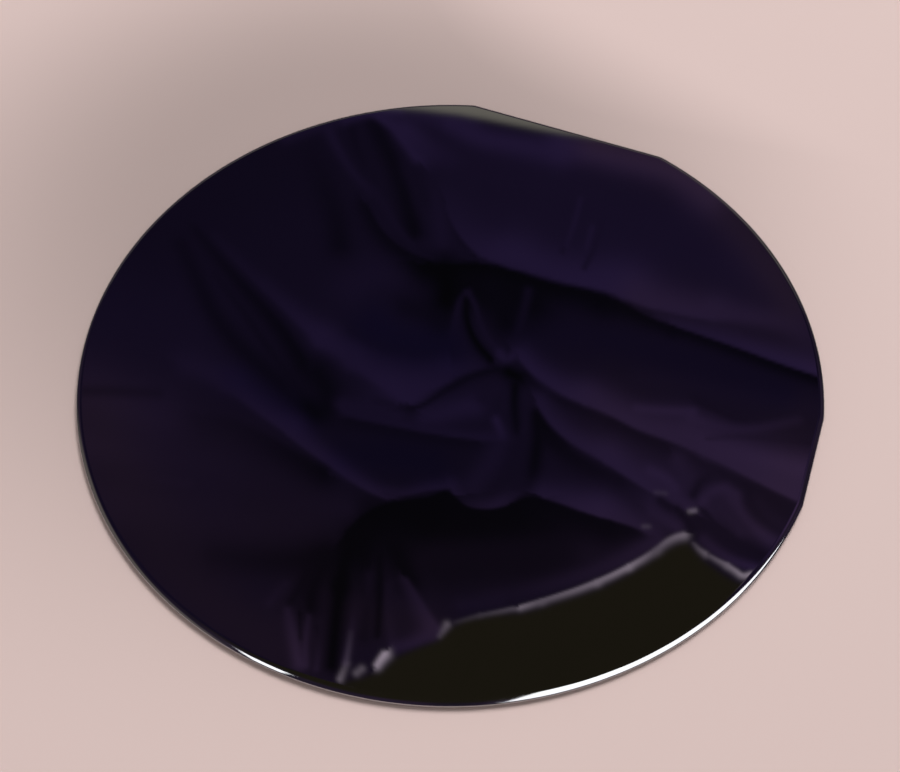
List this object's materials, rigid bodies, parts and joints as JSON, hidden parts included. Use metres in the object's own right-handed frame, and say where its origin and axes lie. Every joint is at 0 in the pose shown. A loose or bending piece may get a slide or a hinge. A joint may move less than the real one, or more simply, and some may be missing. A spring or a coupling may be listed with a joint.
{
  "type": "gallium arsenide wafer",
  "caption": "Thin round mirror-polished semiconductor wafer with a ground, rounded edge, a long primary orientation flat and a shorter secondary flat square to it.",
  "frame": {"origin": "centre of the round edge, on the back face", "axes": "+Z out of the polished front face, +Y out of the primary flat, +X out of the secondary flat"},
  "size_m": [0.0506, 0.0494, 0.0005],
  "materials": {
    "gallium_arsenide": "bare crystal, grey and a little blue: mirror-polished front face, satin ground edge, etched satin back face"
  },
  "bodies": {
    "root": {"wafer": "gallium_arsenide"}
  },
  "joints": []
}
